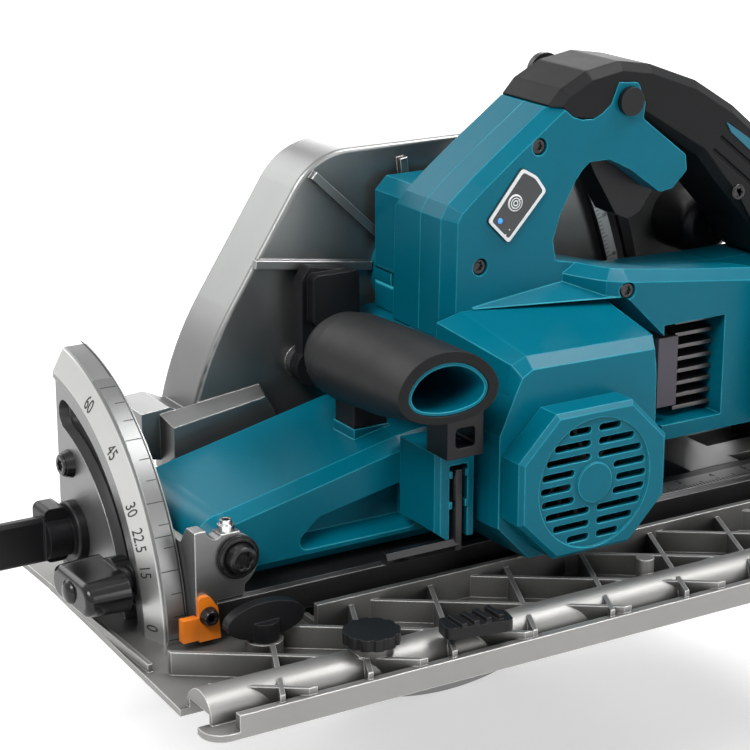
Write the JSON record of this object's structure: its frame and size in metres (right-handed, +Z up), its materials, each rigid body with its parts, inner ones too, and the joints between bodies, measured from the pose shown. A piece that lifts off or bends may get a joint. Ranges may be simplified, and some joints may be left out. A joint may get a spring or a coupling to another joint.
{
  "type": "circular saw with guide rail base",
  "caption": "Cordless circular saw on a ribbed guide-rail base, with bevel plates, a depth pivot at the front, a retracting lower guard and a louvred motor.",
  "frame": {"origin": "on the sole, on the cutting line, just ahead of the blade opening", "axes": "+X to the rear of the saw, -Y to the motor side, +Z up from the sole; the blade cuts in the plane Y = 0"},
  "size_m": [0.4662, 0.2411, 0.3319],
  "materials": {
    "teal": "satin moulded",
    "black_plastic": "fine texture",
    "gloss_black": "gloss moulded",
    "rubber": "soft touch",
    "cast": "painted die casting",
    "base_cast": "die cast, satin",
    "steel": "satin",
    "blackened": "black oxide",
    "chrome": "bright",
    "blade": "ground",
    "guard": "satin",
    "bar": "dark satin",
    "orange": "moulded",
    "scale": "etched scale",
    "winding": "laminations"
  },
  "bodies": {
    "base": {"base_plate": "base_cast", "bevel_plate_front": "cast", "bevel_plate_rear": "cast", "plate_screws": "blackened"},
    "stop_knob": {"stop_knob": "black_plastic"},
    "rail_knob_front": {"rail_knob_front": "black_plastic"},
    "rail_knob_rear": {"rail_knob_rear": "black_plastic"},
    "slide_lever": {"slide_lever": "black_plastic"},
    "fence_screw": {"fence_screw": "black_plastic"},
    "tilt_frame": {"front_bracket": "cast", "tilt_bar": "bar", "rear_bracket": "cast", "depth_guide": "scale", "bevel_pointer": "orange", "pointer_screw": "blackened", "pivot_pin": "blackened", "set_screw": "chrome", "clamp_bolts": "steel"},
    "bevel_clamp_knob": {"bevel_clamp_knob": "gloss_black"},
    "rear_clamp_knob": {"rear_clamp_knob": "gloss_black"},
    "saw_body": {"blade_case": "cast", "gear_case": "teal", "motor_housing": "teal", "motor_cap": "teal", "stator": "winding", "bearings": "steel", "shell_near": "teal", "shell_far": "teal", "rubber_grip": "rubber", "front_grip": "rubber", "grip_liner": "teal", "grip_posts": "black_plastic", "key_clip": "teal", "heat_sink": "guard", "blank_plate": "black_plastic", "dust_nozzle": "black_plastic", "depth_bolt": "steel", "battery_shoe": "black_plastic", "body_screws": "blackened", "mode_pad": "black_plastic"},
    "hex_key": {"hex_key": "blackened"},
    "arbor": {"spindle": "steel", "drive_gear": "steel", "inner_flange": "steel", "outer_flange": "steel", "blade_bolt": "blackened", "saw_blade": "blade"},
    "lay_shaft": {"lay_shaft": "steel"},
    "rotor": {"rotor": "steel", "pinion": "steel", "fan": "black_plastic"},
    "lower_guard": {"lower_guard": "guard"},
    "guard_lever": {"guard_lever": "black_plastic"},
    "trigger": {"trigger": "black_plastic"},
    "lock_button": {"lock_button": "black_plastic"},
    "depth_lever": {"depth_lever": "black_plastic"},
    "spindle_lock": {"spindle_lock": "black_plastic"},
    "battery": {"battery_pack": "black_plastic"},
    "battery_latch": {"battery_latch": "gloss_black"}
  },
  "joints": [
    {"name": "stop_turn", "type": "hinge", "parent": "base", "child": "stop_knob", "pos_m": [-0.06, -0.027, 0.027], "axis": [1, 0, 0], "range_deg": [0, 90]},
    {"name": "rail_turn_front", "type": "hinge", "parent": "base", "child": "rail_knob_front", "pos_m": [0.0065, -0.1765, 0.015], "axis": [0, 0, 1], "range_deg": [-90, 90]},
    {"name": "rail_turn_rear", "type": "hinge", "parent": "base", "child": "rail_knob_rear", "pos_m": [0.3, -0.1765, 0.015], "axis": [0, 0, 1], "range_deg": [-90, 90]},
    {"name": "rail_hold_slide", "type": "slide", "parent": "base", "child": "slide_lever", "axis": [1, 0, 0], "range_m": [0, 0.01]},
    {"name": "fence_clamp_turn", "type": "hinge", "parent": "base", "child": "fence_screw", "pos_m": [-0.0235, -0.14, 0.015], "axis": [0, 0, 1], "range_deg": [-180, 0]},
    {"name": "bevel_tilt", "type": "hinge", "parent": "base", "child": "tilt_frame", "pos_m": [0, 0, 0], "axis": [-1, 0, 0], "range_deg": [0, 60]},
    {"name": "bevel_clamp_turn", "type": "hinge", "parent": "tilt_frame", "child": "bevel_clamp_knob", "pos_m": [-0.07, -0.07882, 0.0226], "axis": [1, 0, 0], "range_deg": [-40, 0]},
    {"name": "rear_clamp_turn", "type": "hinge", "parent": "tilt_frame", "child": "rear_clamp_knob", "pos_m": [0.322, -0.0487, 0.02333], "axis": [1, 0, 0], "range_deg": [-60, 0]},
    {"name": "depth_swing", "type": "hinge", "parent": "tilt_frame", "child": "saw_body", "pos_m": [-0.024, -0.07, 0.04], "axis": [0, -1, 0], "range_deg": [0, 35]},
    {"name": "depth_clamp_turn", "type": "hinge", "parent": "saw_body", "child": "depth_lever", "pos_m": [0.253, -0.034, 0.04], "axis": [0, -1, 0], "range_deg": [0, 60]},
    {"name": "blade_spin", "type": "hinge", "parent": "saw_body", "child": "arbor", "pos_m": [0.151, 0, 0.034], "axis": [0, 1, 0], "continuous": true},
    {"name": "lay_spin", "type": "hinge", "parent": "saw_body", "child": "lay_shaft", "pos_m": [0.15007, -0.042, 0.06173], "axis": [0, 1, 0], "continuous": true},
    {"name": "motor_spin", "type": "hinge", "parent": "saw_body", "child": "rotor", "pos_m": [0.12625, -0.11, 0.05875], "axis": [0, 1, 0], "continuous": true},
    {"name": "guard_swing", "type": "hinge", "parent": "saw_body", "child": "lower_guard", "pos_m": [0.151, 0, 0.034], "axis": [0, -1, 0], "range_deg": [0, 160], "stiffness_Nm_per_rad": 0.35, "springref_deg": -45.84},
    {"name": "guard_lever_turn", "type": "hinge", "parent": "saw_body", "child": "guard_lever", "pos_m": [0.062, -0.03, 0.086], "axis": [0, -1, 0], "range_deg": [0, 32]},
    {"name": "trigger_pull", "type": "hinge", "parent": "saw_body", "child": "trigger", "pos_m": [0.186, -0.07, 0.19], "axis": [0, -1, 0], "range_deg": [0, 12], "stiffness_Nm_per_rad": 0.12, "springref_deg": -22.92},
    {"name": "lock_push", "type": "slide", "parent": "saw_body", "child": "lock_button", "axis": [0, 1, 0], "range_m": [0, 0.003], "stiffness_N_per_m": 400, "springref_m": -0.003},
    {"name": "spindle_lock_push", "type": "slide", "parent": "saw_body", "child": "spindle_lock", "axis": [1, 0, 0], "range_m": [0, 0.004], "stiffness_N_per_m": 500, "springref_m": -0.003},
    {"name": "battery_slide", "type": "slide", "parent": "saw_body", "child": "battery", "axis": [1, 0, 0], "range_m": [0, 0.08]},
    {"name": "latch_push", "type": "slide", "parent": "battery", "child": "battery_latch", "axis": [0, 0, -1], "range_m": [0, 0.004], "stiffness_N_per_m": 500, "springref_m": -0.003},
    {"name": "key_pull", "type": "slide", "parent": "saw_body", "child": "hex_key", "axis": [0, -1, 0], "range_m": [0, 0.03]}
  ],
  "couplings": [
    {"joint": "lay_spin", "follows": "blade_spin", "ratio": -2.3636},
    {"joint": "motor_spin", "follows": "blade_spin", "ratio": 7.0909},
    {"joint": "guard_lever_turn", "follows": "guard_swing", "ratio": 0.2}
  ]
}
